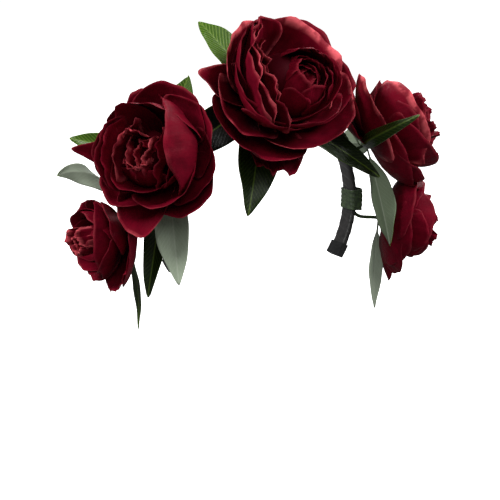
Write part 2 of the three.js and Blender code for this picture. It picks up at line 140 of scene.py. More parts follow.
PEONIES = {
    "right_ear_peony": dict(
        body="right_side",
        seed=11,
        heart_at=(0.0, 0.0),
        guard=[
            one(GUARD, 100, length=1.05, bend=-84, width=1.3),
            one(GUARD, 40, length=1.1, bend=-84, width=1.4),
            one(GUARD, 350, length=1.34, lean=118, bend=-96, width=1.8, cup=34, ruffle=0.01),
            one(GUARD, 302, length=1.28, lean=106, bend=-78, width=1.4, ruffle=0.045, waves=4.5,
                notch=0.06),
            one(GUARD, 240, length=1.16, bend=-60, width=1.2, ruffle=0.045, waves=4.5, notch=0.06),
            one(GUARD, 180),
            one(GUARD, 140),
        ],
        cup=[
            one(CUP, 5, length=1.12, width=1.8, bend=-100, cup=50, ruffle=0.01),
            one(CUP, 75, width=1.4, bend=-96),
            one(CUP, 305, length=1.06, width=1.5, bend=-84, ruffle=0.012),
            one(CUP, 245, width=1.2),
            one(CUP, 190),
            one(CUP, 130),
        ],
        heart=fan(SCALE, 5, 10, width=0.7)
        + fan(FRILL, 5, 30, root=0.2, length=0.84, rim=0.09)
        + fan(FRILL, 4, 0, rim=0.09),
    ),
    "right_temple_peony": dict(
        body="right_side",
        seed=23,
        heart_at=(-0.06, -0.05),
        guard=[
            one(GUARD, 76, length=1.12, width=1.3, bend=-66, ruffle=0.012),
            one(GUARD, 112, length=0.98, width=0.8),
            one(GUARD, 30, length=1.08, width=1.4),
            one(GUARD, 350, length=1.08, width=1.2),
            one(GUARD, 320, length=1.22, width=1.15, lean=98, bend=-74, ruffle=0.01),
            one(GUARD, 262, length=1.16, width=1.15, lean=98, bend=-52, cup=86, roll=-14, ruffle=0.018,
                rim=0.07),
            one(GUARD, 225, length=1.04, width=0.9),
            one(GUARD, 184, length=1.06, width=0.55, point=0.22, round=0.46),
            one(GUARD, 150, length=0.86, width=1.0),
        ],
        cup=[
            one(CUP, 20, length=1.5, width=1.6, lean=99, bend=-150, cup=56, roll=0, ruffle=0.016, waves=3.0,
                crumple=0.024),
            one(CUP, 86, length=1.16, width=1.6, lean=92, bend=-116, cup=50, roll=22, ruffle=0.012),
            one(CUP, 122, length=0.98, width=0.7, point=0.16),
            one(CUP, 180, length=1.05, width=1.3, lean=95, bend=-92, cup=62, ruffle=0.012),
            one(CUP, 298, length=1.06, width=1.25, lean=94, bend=-90, ruffle=0.01),
            one(CUP, 238, length=0.94, width=1.1, bend=-90, cup=70),
            one(CUP, 335, length=0.96, width=0.9, bend=-96),
        ],
        heart=[
            one(WALL, 178, root=0.37, width=1.15, length=0.76, cup=40, ruffle=0.03),
            one(WALL, 3, root=0.31, width=0.95, length=0.78, cup=36, ruffle=0.03),
            one(WALL, 184, root=0.28, width=1.05, length=0.76, cup=26, crumple=0.035, ruffle=0.035),
            one(WALL, 172, root=0.2, width=0.95, length=0.8, lean=18, cup=20, crumple=0.04, ruffle=0.035,
                rim=0.075),
            one(WALL, 2, root=0.22, width=0.85, length=0.74, lean=20, cup=22, crumple=0.04, ruffle=0.035),
            one(WALL, 188, root=0.11, width=0.7, length=0.7, lean=10, cup=16, crumple=0.05, ruffle=0.03,
                rim=0.085),
            one(WALL, 350, root=0.12, width=0.6, length=0.8, lean=12, cup=16, crumple=0.05, ruffle=0.03,
                rim=0.09),
            one(SCALE, 262, root=0.36, width=0.85, length=0.62),
        ]
        + [
            one(FRILL, at, root=root, width=width, length=length, lean=4, crumple=0.045, ruffle=0.03,
                rim=rim)
            for at, root, width, length, rim in (
                (172, 0.02, 0.5, 0.64, 0.08),
                (110, 0.28, 0.34, 0.84, 0.1),
                (300, 0.2, 0.3, 0.7, 0.1),
                (60, 0.22, 0.3, 0.7, 0.05),
                (240, 0.22, 0.36, 0.62, 0.05),
            )
        ],
    ),
    "top_peony": dict(
        body="crown_middle",
        seed=37,
        heart_at=(0.19, -0.13),
        guard=[
            one(GUARD, 104, length=0.8, width=1.0, bend=-70, point=0.16, round=0.46, roll=10),
            one(GUARD, 130, length=0.94, width=1.15, bend=-84, roll=62, rim=0.1),
            one(GUARD, 176, rim=0.09, length=1.06, width=0.8, lean=96, bend=-62, point=0.22, round=0.5,
                cup=70),
            one(GUARD, 205, length=1.16, width=1.2, lean=98, bend=-70, roll=50, ruffle=0.02, rim=0.07),
            one(GUARD, 238, length=1.3, width=1.45, lean=106, bend=-70, roll=0, ruffle=0.012),
            one(GUARD, 266, length=1.22, width=0.9, lean=113, bend=-62, roll=-20, ruffle=0.05, waves=3.6,
                notch=0.12),
            one(GUARD, 302, length=1.26, width=1.8, lean=102, bend=-86, cup=52, roll=-10, ruffle=0.012,
                rim=0.08),
            one(GUARD, 350, length=1.13, width=1.25, lean=96, bend=-68),
            one(GUARD, 38, length=1.04, width=1.3),
        ],
        cup=[
            one(CUP, 30, length=1.0, width=1.7, lean=96, bend=-108, cup=66, roll=120, ruffle=0.014,
                rim=0.1),
            one(CUP, 278, length=1.06, width=1.7, lean=98, bend=-98, cup=50, roll=0, ruffle=0.01),
            one(CUP, 330, length=1.1, width=1.3, lean=92, bend=-104, ruffle=0.012),
            one(CUP, 238, length=1.1, width=1.2, lean=94, bend=-86, ruffle=0.012),
            one(CUP, 200, length=1.04, width=1.1, lean=86, bend=-76, ruffle=0.012),
            one(CUP, 150, length=1.02, width=1.2, lean=84, bend=-80, roll=30),
        ],
        heart=[
            one(WALL, 122, root=0.52, width=0.8, length=0.8, point=0.14, lean=34, bend=-14, cup=56,
                rim=0.06),
            one(WALL, 176, root=0.6, width=1.45, length=0.84, cup=34, ruffle=0.05, rim=0.06),
            one(WALL, 170, root=0.52, width=1.4, length=0.86, cup=28, ruffle=0.06, rim=0.075),
            one(WALL, 184, root=0.43, width=1.35, length=0.86, cup=24, ruffle=0.06, waves=3.2, rim=0.06),
            one(WALL, 176, root=0.36, width=1.2, length=0.8, cup=22, ruffle=0.06, waves=3.2, rim=0.08),
        ]
        + [
            one(SCALE, at, root=0.4, width=0.6, length=length, bend=-72, cup=44, ruffle=0.018, round=0.38)
            for at, length in (
                (96, 0.7),
                (70, 0.82),
                (42, 0.74),
                (12, 0.8),
                (345, 0.7),
            )
        ]
        + [
            one(SCALE, at, root=0.31, width=0.6, length=length, lean=lean, bend=-78, cup=52, roll=44,
                ruffle=0.02, round=0.4)
            for at, length, lean in (
                (240, 0.56, 34),
                (280, 0.68, 24),
                (312, 0.54, 36),
                (345, 0.68, 28),
                (20, 0.58, 34),
                (55, 0.7, 24),
                (95, 0.6, 30),
                (135, 0.68, 24),
                (172, 0.62, 18),
                (208, 0.7, 22),
            )
        ]
        + fan(SCALE, 6, 5, root=0.21, width=0.58, length=0.64, bend=-82, cup=52, roll=34, ruffle=0.018,
            round=0.38)
        + fan(SCALE, 4, 50, root=0.12, width=0.6, length=0.6, lean=14, bend=-74, cup=50, ruffle=0.016,
            round=0.4)
        + fan(SCALE, 3, 80, root=0.05, width=0.5, length=0.54, lean=6, bend=-60, cup=56, ruffle=0.016,
            round=0.42),
    ),
    "left_temple_peony": dict(
        body="left_side",
        seed=41,
        heart_at=(0.0, 0.0),
        guard=[
            one(GUARD, 113, length=1.4, width=1.8, lean=132, bend=-65, cup=22, roll=0, ruffle=0.01),
            one(GUARD, 100, length=1.22, width=1.4, lean=120, bend=-70, cup=26, roll=10, ruffle=0.01),
            one(GUARD, 142, length=1.2, width=1.7, lean=114, bend=-84, cup=30, roll=50, ruffle=0.01,
                rim=0.12),
            one(GUARD, 196, length=1.1, width=1.6, lean=116, bend=-108, cup=38, roll=0, ruffle=0.01),
            one(GUARD, 240, length=1.08, width=1.4, lean=110, bend=-98, cup=38, roll=0, ruffle=0.01),
            one(GUARD, 286, length=1.06, width=1.3, lean=109, bend=-80),
            one(GUARD, 330),
            one(GUARD, 15),
            one(GUARD, 66, length=1.0, width=1.2, bend=-80),
        ],
        cup=[
            one(CUP, 158, length=1.12, width=1.8, lean=88, bend=-108, cup=58, ruffle=0.01, roll=70,
                rim=0.13),
            one(CUP, 226, length=1.08, width=1.6, lean=88, bend=-96, cup=50, ruffle=0.01),
        ]
        + fan(CUP, 5, 20, width=1.1, length=0.96, bend=-92),
        heart=fan(SCALE, 6, 10, ruffle=0.04)
        + fan(FRILL, 6, 20, root=0.22, length=0.8, lean=20)
        + fan(FRILL, 4, 0),
    ),
    "left_ear_peony": dict(
        body="left_side",
        seed=59,
        heart_at=(0.0, 0.0),
        guard=[
            one(GUARD, 95, length=1.1, width=1.5, cup=34),
            one(GUARD, 140, length=1.16, width=1.6, lean=118, bend=-94, roll=20, cup=34),
            one(GUARD, 190, length=1.2, width=1.6, lean=126, bend=-108, cup=30, ruffle=0.01),
            one(GUARD, 230, length=1.22, width=1.4, lean=116, bend=-90, cup=34, ruffle=0.012),
            one(GUARD, 264, length=1.26, width=0.9, lean=104, bend=-60),
            one(GUARD, 310),
            one(GUARD, 355),
            one(GUARD, 45),
        ],
        cup=[
            one(CUP, 165, length=1.1, width=1.7, bend=-100, cup=50, ruffle=0.01),
            one(CUP, 220, length=1.06, width=1.5, bend=-92, cup=50, ruffle=0.01),
        ]
        + fan(CUP, 4, 20, width=1.1),
        heart=fan(SCALE, 5, 10, ruffle=0.03, width=0.7)
        + fan(FRILL, 6, 20, root=0.22, length=0.84, lean=18)
        + fan(FRILL, 4, 0),
    ),
}

# Width in millimetres, curl along the blade and twist at the tip in degrees, and tone from 0 (dark) to 1
# (light). A flipped leaf shows its pale side where the others show the dark one.
LEAVES = {
    "forehead_leaf": dict(width=34, curl=20, tone=0.10),
    "gap_leaf": dict(width=32, curl=40, tone=0.0),
    "brow_leaf": dict(width=26, curl=6, tone=0.05),
    "twisted_leaf": dict(width=13, curl=-95, twist=40, tone=0.15, flip=True),
    "crest_right_leaf": dict(width=30, curl=16, tone=0.75),
    "crest_back_leaf": dict(width=26, curl=30, tone=0.4),
    "right_cheek_leaf": dict(width=28, curl=4, tone=0.6, flip=True),
    "right_jaw_leaf": dict(width=20, curl=4, tone=0.1),
    "right_high_leaf": dict(width=20, curl=16, tone=0.7),
    "right_back_leaf": dict(width=26, curl=20, tone=0.5),
    "right_ear_wrap_leaf": dict(width=27, curl=-112, twist=80, tone=0.8),
    "right_ear_long_leaf": dict(width=10, curl=-30, tone=0.15),
    "left_gap_leaf": dict(width=15, curl=10, tone=0.45),
    "left_cheek_leaf": dict(width=24, curl=10, tone=0.1),
    "left_high_leaf": dict(width=24, curl=8, tone=0.7),
    "left_back_leaf": dict(width=24, curl=20, tone=0.3),
    "left_ear_long_leaf": dict(width=14, curl=-12, tone=0.9),
}


# ---------------------------------------------------------------- small geometry helpers
def rad(angle):
    return np.radians(angle)


def smooth(t):
    t = np.clip(t, 0, 1)
    return t * t * (3 - 2 * t)


def unit(v):
    v = np.asarray(v, float)
    return v / np.linalg.norm(v)


def outward(angle):
    """The direction out of the head band's circle: angle from the top towards the wearer's left."""
    return np.array((math.sin(rad(angle)), 0.0, math.cos(rad(angle))))


# The circle's centre, from where the band bends towards the wearer's left.
SPREAD = next(j for j in frame["joints"] if j["name"] == "left_spread")
RING_CENTRE = np.array(SPREAD["pos_m"]) / MM - BAND_RADIUS * outward(HINGE_ANGLE)


def on_ring(angle, radius):
    """A point at this distance from the centre of the band's circle."""
    return RING_CENTRE + radius * outward(angle)


def node_points(name):
    """The CAD node's vertices in millimetres, each once."""
    found = np.array([v.co for v in frame["nodes"][name].data.vertices], float) / MM
    return np.unique(np.round(found, 3), axis=0)


class Mesh:
    """Collects parts of one piece: points, faces, face slots and two vectors per point for the materials."""

    def __init__(self):
        self.points, self.faces, self.slots, self.flat, self.place = [], [], [], [], []
        self.count = 0

    def add(self, points, faces, flat, place, slots=None):
        points = np.asarray(points, float).reshape(-1, 3)
        self.points.append(points)
        self.faces.extend([tuple(int(i) + self.count for i in f) for f in faces])
        self.slots.extend(slots if slots is not None else [0] * len(faces))
        self.flat.append(np.asarray(flat, float).reshape(-1, 3))
        self.place.append(np.asarray(place, float).reshape(-1, 3))
        self.count += len(points)

    def build(self, name, materials):
        data = bpy.data.meshes.new(name)
        data.from_pydata((np.concatenate(self.points) * MM).tolist(), [], self.faces)
        for material in materials:
            data.materials.append(material)
        data.polygons.foreach_set("material_index", self.slots)
        data.polygons.foreach_set("use_smooth", [True] * len(self.faces))
        for label, values in (("flat", self.flat), ("place", self.place)):
            layer = data.attributes.new(label, "FLOAT_VECTOR", "POINT")
            layer.data.foreach_set("vector", np.concatenate(values).ravel().astype(np.float32))
        data.update()
        piece = bpy.data.objects.new(name, data)
        bpy.context.scene.collection.objects.link(piece)
        return piece


def grid_faces(rows, columns, start=0, flip=False, closed=False):
    """Quads of a grid of points; closed joins the last column to the first."""
    faces = []
    for row in range(rows - 1):
        for column in range(columns if closed else columns - 1):
            after = (column + 1) % columns
            quad = (row * columns + column, row * columns + after, (row + 1) * columns + after,
                    (row + 1) * columns + column)
            quad = tuple(i + start for i in quad)
            faces.append(quad[::-1] if flip else quad)
    return faces


def surface_normals(middle):
    """Unit normals of a grid of points."""
    down = np.gradient(middle, axis=0)
    over = np.gradient(middle, axis=1)
    normals = np.cross(over, down)
    length = np.linalg.norm(normals, axis=2, keepdims=True)
    return normals / np.maximum(length, 1e-9)


def add_sheet(mesh, middle, thick, flat, place, two_sided=False):
    """A closed thin sheet round a grid of middle points. thick is one number or one per point."""
    rows, columns = middle.shape[:2]
    normals = surface_normals(middle)
    half = np.broadcast_to(np.asarray(thick, float), (rows, columns))[..., None] / 2
    top, under = middle + normals * half, middle - normals * half
    n = rows * columns
    faces = grid_faces(rows, columns) + grid_faces(rows, columns, n, flip=True)
    slots = [0] * (len(faces) // 2) + [1 if two_sided else 0] * (len(faces) // 2)
    ring = (
        [(0, c) for c in range(columns)]
        + [(r, columns - 1) for r in range(1, rows)]
        + [(rows - 1, c) for c in range(columns - 2, -1, -1)]
        + [(r, 0) for r in range(rows - 2, 0, -1)]
    )
    around = [r * columns + c for r, c in ring]
    for here, after in zip(around, around[1:] + around[:1]):
        faces.append((here, here + n, after + n, after))
        slots.append(0)
    points = np.concatenate([top.reshape(-1, 3), under.reshape(-1, 3)])
    flat_twice = np.tile(flat.reshape(-1, 3), (2, 1))
    place_twice = np.tile(place.reshape(-1, 3), (2, 1))
    mesh.add(points, faces, flat_twice, place_twice, slots)


def stack(a, b, c):
    """Three grids or numbers as one grid of vectors."""
    a, b, c = np.broadcast_arrays(a, b, c)
    return np.stack((a, b, c), axis=-1)


# ---------------------------------------------------------------- petals
def crumples(x, y, rng, waves=5, longest=34.0, shortest=9.0):
    """A smooth uneven height over a flat petal, about 1 high, from a few crossing waves."""
    height = 0
    for _ in range(waves):
        length = rng.uniform(shortest, longest)
        heading = rng.uniform(0, math.pi)
        along = x * math.cos(heading) + y * math.sin(heading)
        phase = rng.uniform(0, ANY_PHASE)
        height = height + (length / longest) * np.sin(2 * math.pi * along / length + phase)
    return height / math.sqrt(waves)


def petal_half_width(v, width):
    """Half a petal's width along it: narrow at the root, widest past the middle."""
    narrow, swell, fullness = 0.22, 0.60, 0.85
    return width / 2 * (narrow + (1 - narrow) * np.sin(math.pi * swell * v) ** fullness)


def petal_profile(radius, length, root, lift, lean, bend, roll):
    """The petal's middle line seen from the side: shares of its length, its slope, and how far out and up."""
    fine = np.linspace(0, 1.3, 131)
    roll_from, roll_over = 0.72, 0.36
    angle = rad(lean + bend * fine ** 0.9 + roll * smooth((fine - roll_from) / roll_over) ** 1.5)
    step = (fine[1] - fine[0]) * length
    out = root * radius + np.concatenate([[0], np.cumsum(np.sin(angle[:-1]))]) * step
    high = lift * radius + np.concatenate([[0], np.cumsum(np.cos(angle[:-1]))]) * step
    return fine, angle, out, high


def add_petal(mesh, rng, radius, at, root, lift, length, width, lean, bend, cup, roll=0, ruffle=0.03,
              waves=3.0, round=0.3, notch=0.0, point=0.0, crumple=0.017, skew=0.0, rim=0.035, grid=(17, 21)):
    """One cloth petal in the bloom's own frame: Z along the bloom's axis, at = its clock angle from +X."""
    rows, columns = grid
    length, width = length * radius, width * radius
    u = np.linspace(-1, 1, columns)[None, :]
    v = np.linspace(0, 1, rows)[:, None]
    phase = rng.uniform(0, ANY_PHASE, 4)
    half = petal_half_width(v, width)
    edge_wave = 0.018 * np.sin(5.0 * u + phase[0]) + 0.006 * np.sin(14.0 * u + phase[1])
    notch_cut = notch * np.exp(-((u - 0.1) / 0.17) ** 2)
    point_drawn = point * np.exp(-(u / 0.33) ** 2)
    long = length * (1 - round * np.abs(u) ** 2.5 - notch_cut + point_drawn + edge_wave)
    x, y = u * half, v * long
    t = y / length

    fine, angle, out, high = petal_profile(radius, length, root, lift, lean, bend, roll)
    phi, r, z = (np.interp(t, fine, table) for table in (angle, out, high))
    curl = rad(cup) * x / (width / 2)
    side = x * np.sinc(curl / math.pi)
    dip = side * np.tan(curl / 2)
    frill = ruffle * radius * t ** 2.2 * (
        (0.45 + 0.55 * np.abs(u)) * np.sin(waves * math.pi * u + phase[2])
        + 0.45 * np.sin(2.3 * waves * math.pi * u + phase[3]))
    rise = frill - dip + crumple * radius * (0.25 + 0.75 * t) * crumples(x, y, rng)
    turned = rad(at + skew * t)
    radial = r + rise * np.cos(phi)
    points = stack(radial * np.cos(turned) - side * np.sin(turned),
                   radial * np.sin(turned) + side * np.cos(turned), z - rise * np.sin(phi))

    from_edge = np.minimum(half * (1 - np.abs(u)), long * (1 - v))
    seed = rng.uniform(0, 1)
    thick = PETAL_THICK * (0.35 + 0.65 * np.clip(from_edge / PETAL_EDGE, 0, 1))
    # The third place value is the strength of the pink highlight painted near the petal's edge; a wider rim
    # paints it stronger.
    full_rim = 0.09  # a rim this wide or wider is at its palest
    edge = min(1.0, rim / full_rim) ** 2 * smooth(1.7 - 1.7 * from_edge / (rim * radius))
    add_sheet(mesh, points, thick, stack(x, y, seed), stack(u, v, edge))


def add_petals(mesh, rng, radius, petals, centre, grid):
    """Adds a layer's petals; a loose one is varied a little, and centre shifts the whole layer sideways."""
    shift = np.array((centre[0], centre[1], 0.0)) * radius
    for petal in petals:
        own = dict(petal)
        vary = 1.0 if own.pop("loose", False) else HAND_SET
        own["length"] *= 1 + vary * rng.uniform(-LONGER, LONGER)
        own["width"] *= 1 + vary * rng.uniform(-NARROWER, WIDER)
        for key, most in VARY_ANGLES:
            own[key] += vary * rng.uniform(-most, most)
        add_petal(mesh, rng, radius, skew=rng.uniform(-VARY_SKEW, VARY_SKEW), grid=grid, **own)
        mesh.points[-1] = mesh.points[-1] + shift


def bloom_frame(name):
    """Where a bloom stands, from its CAD calyx and heart: origin, axes (across, up, aim) and radius."""
    calyx, heart = node_points(name + "_calyx"), node_points(name + "_heart")
    middle = calyx.mean(0)
    aim = unit(heart.mean(0) - middle)
    origin = middle + aim * ((calyx @ aim).min() - middle @ aim)
    across = unit(np.cross((0, 0, 1), aim))
    heart_reach = 1.02  # the CAD heart's top is this many radii above the calyx
    radius = ((heart @ aim).max() - origin @ aim) / heart_reach
    return origin, np.stack((across, np.cross(aim, across), aim)), radius


def placed(mesh, origin, axes):
    """Moves a mesh's points from a local frame into the crown's frame."""
    mesh.points = [points @ axes + origin for points in mesh.points]
    return mesh


def add_core(mesh, radius):
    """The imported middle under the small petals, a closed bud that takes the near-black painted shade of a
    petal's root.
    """
    rows, columns = 9, 20
    turn = np.linspace(0.12, math.pi - 0.02, rows)[:, None]
    around = np.linspace(0, 2 * math.pi, columns, endpoint=False)[None, :]
    r = 0.30 * radius * np.sin(turn) * (1 + 0.05 * np.sin(5 * around))
    z = radius * (0.50 - 0.26 * np.cos(turn)) + 0 * around
    points = stack(r * np.cos(around), r * np.sin(around), z).reshape(-1, 3)
    faces = grid_faces(rows, columns, closed=True)
    faces.append(tuple(range(columns))[::-1])
    faces.append(tuple(range((rows - 1) * columns, rows * columns)))
    # Zero place values give the bud the petal cloth's painted root shade.
    flat = np.zeros_like(points)
    mesh.add(points, faces, flat, flat)


# ---------------------------------------------------------------- materials
class Shader:
    """A node material under construction; node() makes a node and wires or sets its inputs."""

    def __init__(self, name):
        self.material = bpy.data.materials.new(name)
        self.material.use_nodes = True
        self.tree = self.material.node_tree
        self.tree.nodes.clear()

    def node(self, kind, inputs=None, output=0, **settings):
        made = self.tree.nodes.new("ShaderNode" + kind)
        for key, value in settings.items():
            setattr(made, key, value)
        for key, value in (inputs or {}).items():
            socket = made.inputs[key]
            if isinstance(value, bpy.types.NodeSocket):
                self.tree.links.new(value, socket)
            else:
                socket.default_value = value
        return made.outputs[output]

    def math(self, operation, a, b=0.0, clamp=False):
        return self.node("Math", {0: a, 1: b}, operation=operation, use_clamp=clamp)

    def mix(self, share, a, b, blend="MIX"):
        a, b = (tuple(c) + (1.0,) if isinstance(c, tuple) and len(c) == 3 else c for c in (a, b))
        return self.node("Mix", {0: share, 6: a, 7: b}, 2, data_type="RGBA", blend_type=blend)

    def steps(self, value, low, high, out_low=0.0, out_high=1.0):
        return self.node("MapRange", {0: value, 1: low, 2: high, 3: out_low, 4: out_high},
                         interpolation_type="SMOOTHSTEP")

    def attribute(self, name):
        vector = self.node("Attribute", output=1, attribute_name=name)
        split = self.node("SeparateXYZ", {0: vector})
        return vector, list(split.node.outputs)

    def scaled(self, vector, x, y, z):
        return self.node("VectorMath", {0: vector, 1: (x, y, z)}, operation="MULTIPLY")

    def noise(self, vector, scale, detail=2.0, rough=0.5):
        return self.node("TexNoise", {"Vector": vector, "Scale": scale, "Detail": detail, "Roughness": rough})

    def bump(self, height, distance, strength=1.0, below=None):
        inputs = {"Height": height, "Distance": distance * MM, "Strength": strength}
        if below is not None:
            inputs["Normal"] = below
        return self.node("Bump", inputs)

    def finish(self, **inputs):
        surface = self.node("BsdfPrincipled", {k.replace("_", " "): v for k, v in inputs.items()})
        output = self.tree.nodes.new("ShaderNodeOutputMaterial")
        self.tree.links.new(surface, output.inputs["Surface"])
        return self.material


def colour(r, g, b):
    """An sRGB colour written 0 to 255, as the linear values a shader takes."""
    return tuple(((c / 255 + 0.055) / 1.055) ** 2.4 if c > 10 else c / 255 / 12.92 for c in (r, g, b))


def weave(s, x, y, pitch):
    """A plain weave of threads this many millimetres apart, as a height."""
    warp = s.math("SINE", s.math("MULTIPLY", x, 2 * math.pi / pitch))
    weft = s.math("SINE", s.math("MULTIPLY", y, 2 * math.pi / pitch))
    return s.math("MULTIPLY", warp, weft)


def petal_material():
    """Burgundy satin cloth with faint fan veins; painted shade darkens each petal towards its root and a pink
    highlight is painted on its edges.
    """
    s = Shader("petal_cloth")
    flat, (x, y, seed) = s.attribute("flat")
    _, (u, v, edge) = s.attribute("place")
    across, along, own = (s.math("MULTIPLY", a, b) for a, b in ((u, 13.0), (v, 1.6), (seed, 40.0)))
    veins = s.noise(s.node("CombineXYZ", {0: across, 1: along, 2: own}), 1.0, 3.0, 0.6)
    blotch = s.noise(s.scaled(flat, 0.09, 0.09, 31.0), 1.0, 3.0)
    # Painted shade: near black at each petal's root, where the petals crowd, rising to burgundy further out.
    root_shade_ramp = s.steps(v, 0.15, 0.85)
    body = s.mix(root_shade_ramp, colour(5, 0, 2), colour(98, 6, 26))
    body = s.mix(s.steps(veins, 0.35, 0.75, 0.0, 0.35), body, colour(118, 6, 30))
    body = s.mix(s.steps(blotch, 0.4, 0.7, 0.0, 0.45), body, colour(48, 1, 10))
    body = s.mix(s.math("MULTIPLY", s.math("SUBTRACT", seed, 0.5), 0.5, clamp=True), body, colour(116, 7, 30))
    # Painted highlight: pink on the petal's edges, in patches.
    rim_highlight = s.math("MULTIPLY", edge, s.steps(blotch, 0.40, 0.60, 0.15, 1.0))
    body = s.mix(s.math("MULTIPLY", rim_highlight, 0.85), body, colour(222, 96, 104))
    normal = s.bump(veins, 0.5, 0.6)
    normal = s.bump(weave(s, x, y, 0.55), 0.06, 0.5, normal)
    return s.finish(Base_Color=body, Roughness=s.steps(veins, 0.3, 0.7, 0.46, 0.62), Normal=normal,
                    Sheen_Weight=0.05, Sheen_Roughness=0.4, Sheen_Tint=colour(210, 50, 70) + (1.0,),
                    Specular_IOR_Level=0.16, Specular_Tint=colour(255, 90, 110) + (1.0,))


def leaf_material(name, dark, light, vein, roughness, vein_share):
    """Pressed satin leaf: long grain, side veins at a slant and a paler rib; tone runs dark to light."""
    s = Shader(name)
    flat, (x, y, tone) = s.attribute("flat")
    _, (_, _, edge) = s.attribute("place")
    slant = s.math("SUBTRACT", y, s.math("MULTIPLY", s.math("ABSOLUTE", x), 1.5))
    ribs = s.math("POWER", s.math("ABSOLUTE", s.math("SINE", s.math("MULTIPLY", slant, 0.75))), 14.0)
    drawn_out = {0: s.math("MULTIPLY", x, 1.6), 1: s.math("MULTIPLY", y, 0.05), 2: tone}
    grain = s.noise(s.node("CombineXYZ", drawn_out), 1.0, 3.0, 0.55)
    blotch = s.noise(s.scaled(flat, 0.07, 0.05, 9.0), 1.0, 3.0)
    body = s.mix(tone, dark, light)
    mottle = s.math("ADD", s.steps(blotch, 0.35, 0.7, 0.0, 0.5), s.steps(grain, 0.4, 0.7, 0.0, 0.4))
    body = s.mix(s.math("MULTIPLY", mottle, tone), body, light)
    body = s.mix(s.math("MULTIPLY", ribs, s.math("MULTIPLY", tone, vein_share)), body, vein)
    midrib = s.steps(s.math("ABSOLUTE", x), 0.9, 0.25)
    body = s.mix(s.math("MULTIPLY", midrib, 0.30), body, vein)
    body = s.mix(s.math("MULTIPLY", s.steps(edge, 0.6, 1.0), 0.25), body, vein)
    normal = s.bump(ribs, 0.15, 0.5)
    normal = s.bump(grain, 0.2, 0.5, normal)
    normal = s.bump(weave(s, x, y, 0.5), 0.04, 0.4, normal)
    return s.finish(Base_Color=body, Roughness=s.steps(grain, 0.3, 0.7, roughness, roughness + 0.14),
                    Normal=normal, Specular_IOR_Level=0.24)


def wrap_material(name, dark, light, roughness, pitch):
    """Ribbon or tape wound round: threads across the turns, lighter towards each turn's raised edge."""
    s = Shader(name)
    flat, (x, _, turn_share) = s.attribute("flat")
    threads = s.math("SINE", s.math("MULTIPLY", x, 2 * math.pi / pitch))
    blotch = s.noise(s.scaled(flat, 0.25, 0.25, 1.0), 1.0, 4.0)
    body = s.mix(s.steps(blotch, 0.35, 0.7), dark, light)
    # Lighter towards each turn's raised edge.
    body = s.mix(s.math("MULTIPLY", s.steps(turn_share, 0.75, 1.0), 0.4), body, light)
    normal = s.bump(blotch, 0.4, 0.5)
    normal = s.bump(threads, 0.05, 0.5, normal)
    return s.finish(Base_Color=body, Roughness=s.steps(blotch, 0.3, 0.7, roughness, roughness + 0.15),
                    Normal=normal, Sheen_Weight=0.2)


def plain_material(name, dark, light, roughness, metallic, scale):
    """Finish of the bare steel and plastic: brushed or moulded, with a little wear."""
    s = Shader(name)
    place = s.node("TexCoord", output=3)
    streak = s.noise(place, scale, 4.0)
    body = s.mix(s.steps(streak, 0.35, 0.7), dark, light)
    return s.finish(Base_Color=body, Roughness=s.steps(streak, 0.3, 0.7, roughness, roughness + 0.2),
                    Metallic=metallic, Normal=s.bump(streak, 0.05, 0.4))


PETAL = petal_material()
LEAF_TOP = leaf_material("leaf_top", colour(5, 9, 4), colour(58, 90, 14), colour(120, 146, 60), 0.26, 0.80)
LEAF_UNDER = leaf_material("leaf_under", colour(92, 106, 80), colour(158, 170, 150), colour(186, 194, 176),
                           0.50, 0.15)
CALYX = leaf_material("calyx_cloth", colour(38, 58, 20), colour(84, 110, 48), colour(110, 132, 70), 0.5, 0.3)
STEM = wrap_material("stem_wrap", colour(38, 56, 24), colour(62, 84, 38), 0.6, 0.5)
TAPE_FINISH = wrap_material("floral_tape", colour(30, 46, 20), colour(56, 76, 36), 0.5, 0.7)
RIBBON_FINISH = wrap_material("ribbon_cloth", colour(14, 12, 12), colour(34, 30, 30), 0.38, 0.6)
STEEL = plain_material("band_steel", colour(120, 120, 122), colour(176, 176, 178), 0.25, 1.0, 900.0)
CAP = plain_material("cap_plastic", colour(10, 10, 11), colour(26, 26, 28), 0.35, 0.0, 600.0)


# ---------------------------------------------------------------- blooms
def add_calyx_sepals(mesh, rng, radius):
    """Five narrow green sepals pressed against the underside of the guard petals."""
    for i in range(5):
        add_petal(mesh, rng, radius, 72 * i + rng.uniform(-8, 8), 0.055, 0.0, 0.34, 0.17, 96, -38, 20,
                  ruffle=0.006, round=0.5, point=0.25, crumple=0.004, grid=(9, 9))


def build_bloom(name, peony):
    rng = np.random.default_rng(peony["seed"])
    origin, axes, radius = bloom_frame(name)
    layers = {
        "guard_petals": (peony["guard"], (0, 0), (19, 25)),
        "cup_petals": (peony["cup"], (0, 0), (19, 25)),
        "heart": (peony["heart"], peony["heart_at"], (15, 19)),
    }
    for layer, (petals, centre, grid) in layers.items():
        mesh = Mesh()
        if layer == "heart":
            add_core(mesh, radius)
        add_petals(mesh, rng, radius, petals, centre, grid)
        piece = placed(mesh, origin, axes).build(f"{name}_{layer}_cloth", [PETAL])
        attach(piece, peony["body"])
        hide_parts(f"{name}_{layer}")
    mesh = Mesh()
    add_calyx_sepals(mesh, rng, radius)
    piece = placed(mesh, origin, axes).build(f"{name}_calyx_cloth", [CALYX])
    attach(piece, peony["body"])
    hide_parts(f"{name}_calyx")


# ---------------------------------------------------------------- leaves
def leaf_half_width(v, width):
    """Half a leaf's width along it: a stalk for the first part, then a lance-shaped blade."""
    stalk_share, stalk_half = 0.12, 0.8
    along = np.clip((v - stalk_share) / (1 - stalk_share), 0, 1)
    return stalk_half + (width / 2 - stalk_half) * np.sin(math.pi * along ** 0.82).clip(0) ** 0.9


